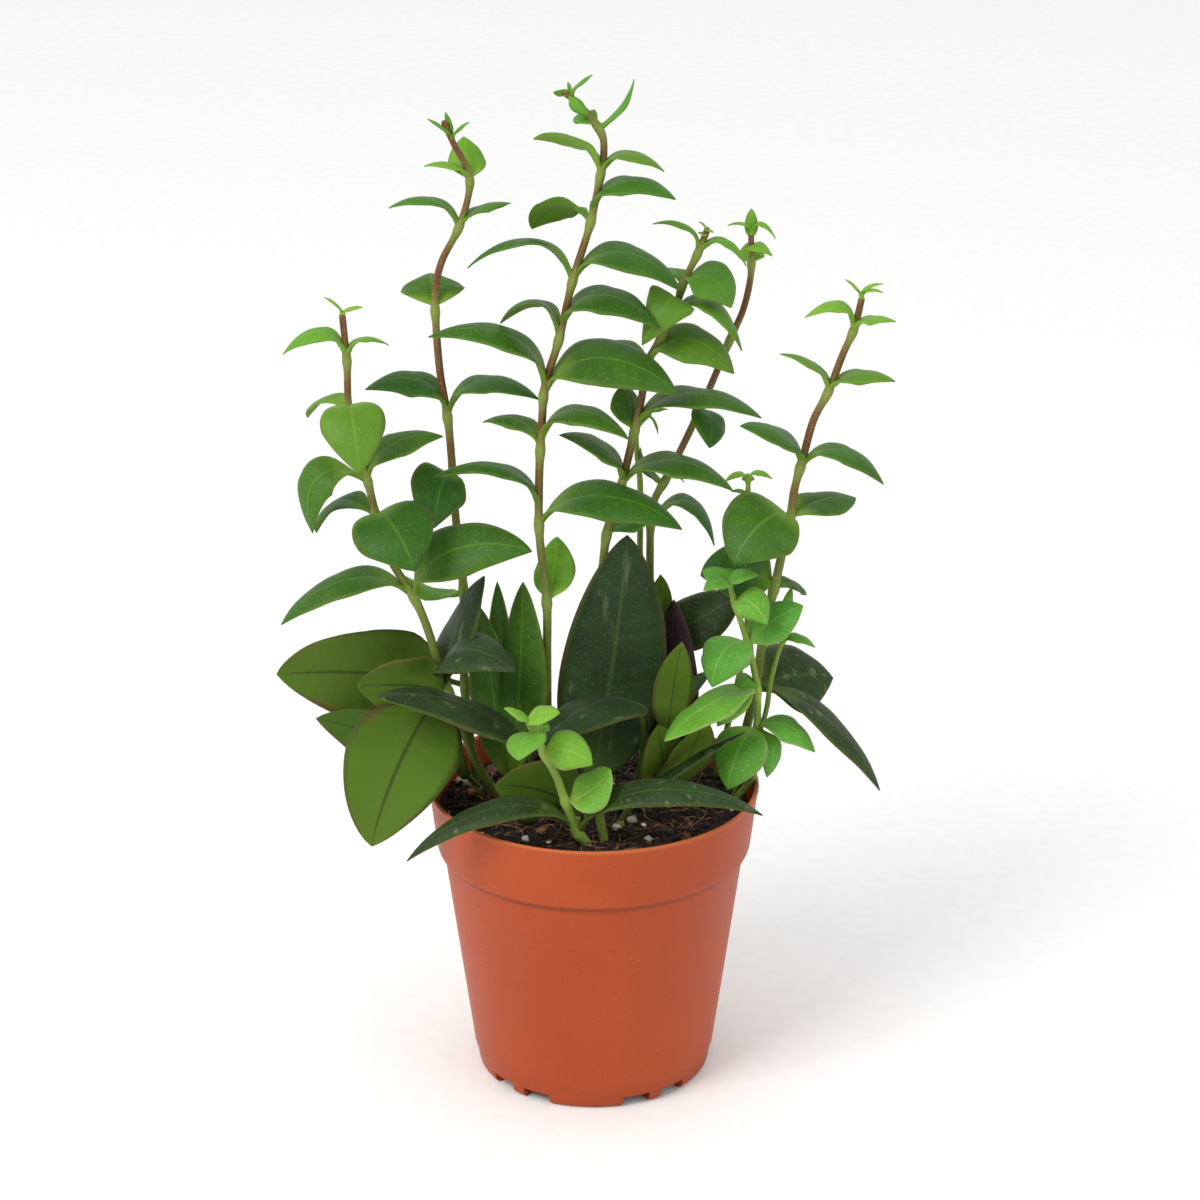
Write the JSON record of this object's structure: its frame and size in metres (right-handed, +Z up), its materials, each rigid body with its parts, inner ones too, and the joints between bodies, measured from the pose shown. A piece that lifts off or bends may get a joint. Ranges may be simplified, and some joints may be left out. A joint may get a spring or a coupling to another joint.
{
  "type": "potted plant",
  "caption": "Potted lipstick plant: a clump of slim stems with opposite pairs of pointed, fleshy leaves, young shoots and large basal leaves, in soil in a round tapered nursery pot.",
  "frame": {"origin": "centre of the pot's flat base, on the surface it stands on", "axes": "+Z up along the pot's axis, -Y towards the viewer of the plant's front, +X to the right seen from there"},
  "size_m": [0.1832, 0.1045, 0.3112],
  "materials": {
    "pot_plastic": "satin injection-moulded terracotta plastic with faint specks",
    "potting_soil": "loose dark compost with fibres, bark chips and perlite",
    "stem": "slim reddish-brown stem, green at the nodes and lower down, slightly hairy",
    "green_stem": "soft green young shoot with its small pale leaves",
    "leaf": "fleshy green leaf with a soft sheen, a pale midrib and an olive underside",
    "old_leaf": "large old leaf, grey-green and speckled above, yellow-green with reddish margins below"
  },
  "bodies": {
    "root": {"basal_cross": "old_leaf", "basal_dark": "old_leaf", "basal_front": "old_leaf", "basal_left": "old_leaf", "basal_long": "old_leaf", "basal_low": "old_leaf", "basal_olive": "old_leaf", "basal_tuft": "old_leaf", "basal_upright": "old_leaf", "pot": "pot_plastic", "shoot_10": "green_stem", "shoot_11": "green_stem", "shoot_12": "green_stem", "shoot_7": "green_stem", "shoot_8": "green_stem", "shoot_9": "green_stem", "shoot_9_leaves_90": "old_leaf", "soil": "potting_soil", "stem_1": "stem", "stem_1_leaves_121": "old_leaf", "stem_1_leaves_152": "leaf", "stem_1_leaves_178": "leaf", "stem_1_leaves_190": "leaf", "stem_1_leaves_212": "leaf", "stem_2": "stem", "stem_2_leaves_118": "old_leaf", "stem_2_leaves_185": "leaf", "stem_2_leaves_204": "leaf", "stem_2_leaves_237": "leaf", "stem_2_leaves_262": "leaf", "stem_3": "stem", "stem_3_leaves_173": "leaf", "stem_3_leaves_197": "leaf", "stem_3_leaves_214": "leaf", "stem_3_leaves_232": "leaf", "stem_3_leaves_250": "leaf", "stem_3_leaves_268": "leaf", "stem_3_leaves_282": "leaf", "stem_4": "stem", "stem_4_leaves_183": "leaf", "stem_4_leaves_201": "leaf", "stem_4_leaves_222": "leaf", "stem_4_leaves_231": "leaf", "stem_4_leaves_246": "leaf", "stem_5": "stem", "stem_5_leaves_130": "old_leaf", "stem_5_leaves_168": "leaf", "stem_5_leaves_181": "leaf", "stem_5_leaves_203": "leaf", "stem_5_leaves_225": "leaf", "stem_6": "stem", "stem_6_leaves_119": "old_leaf", "stem_6_leaves_153": "leaf", "stem_6_leaves_176": "leaf", "stem_6_leaves_193": "leaf", "stem_6_leaves_217": "leaf"}
  },
  "joints": []
}
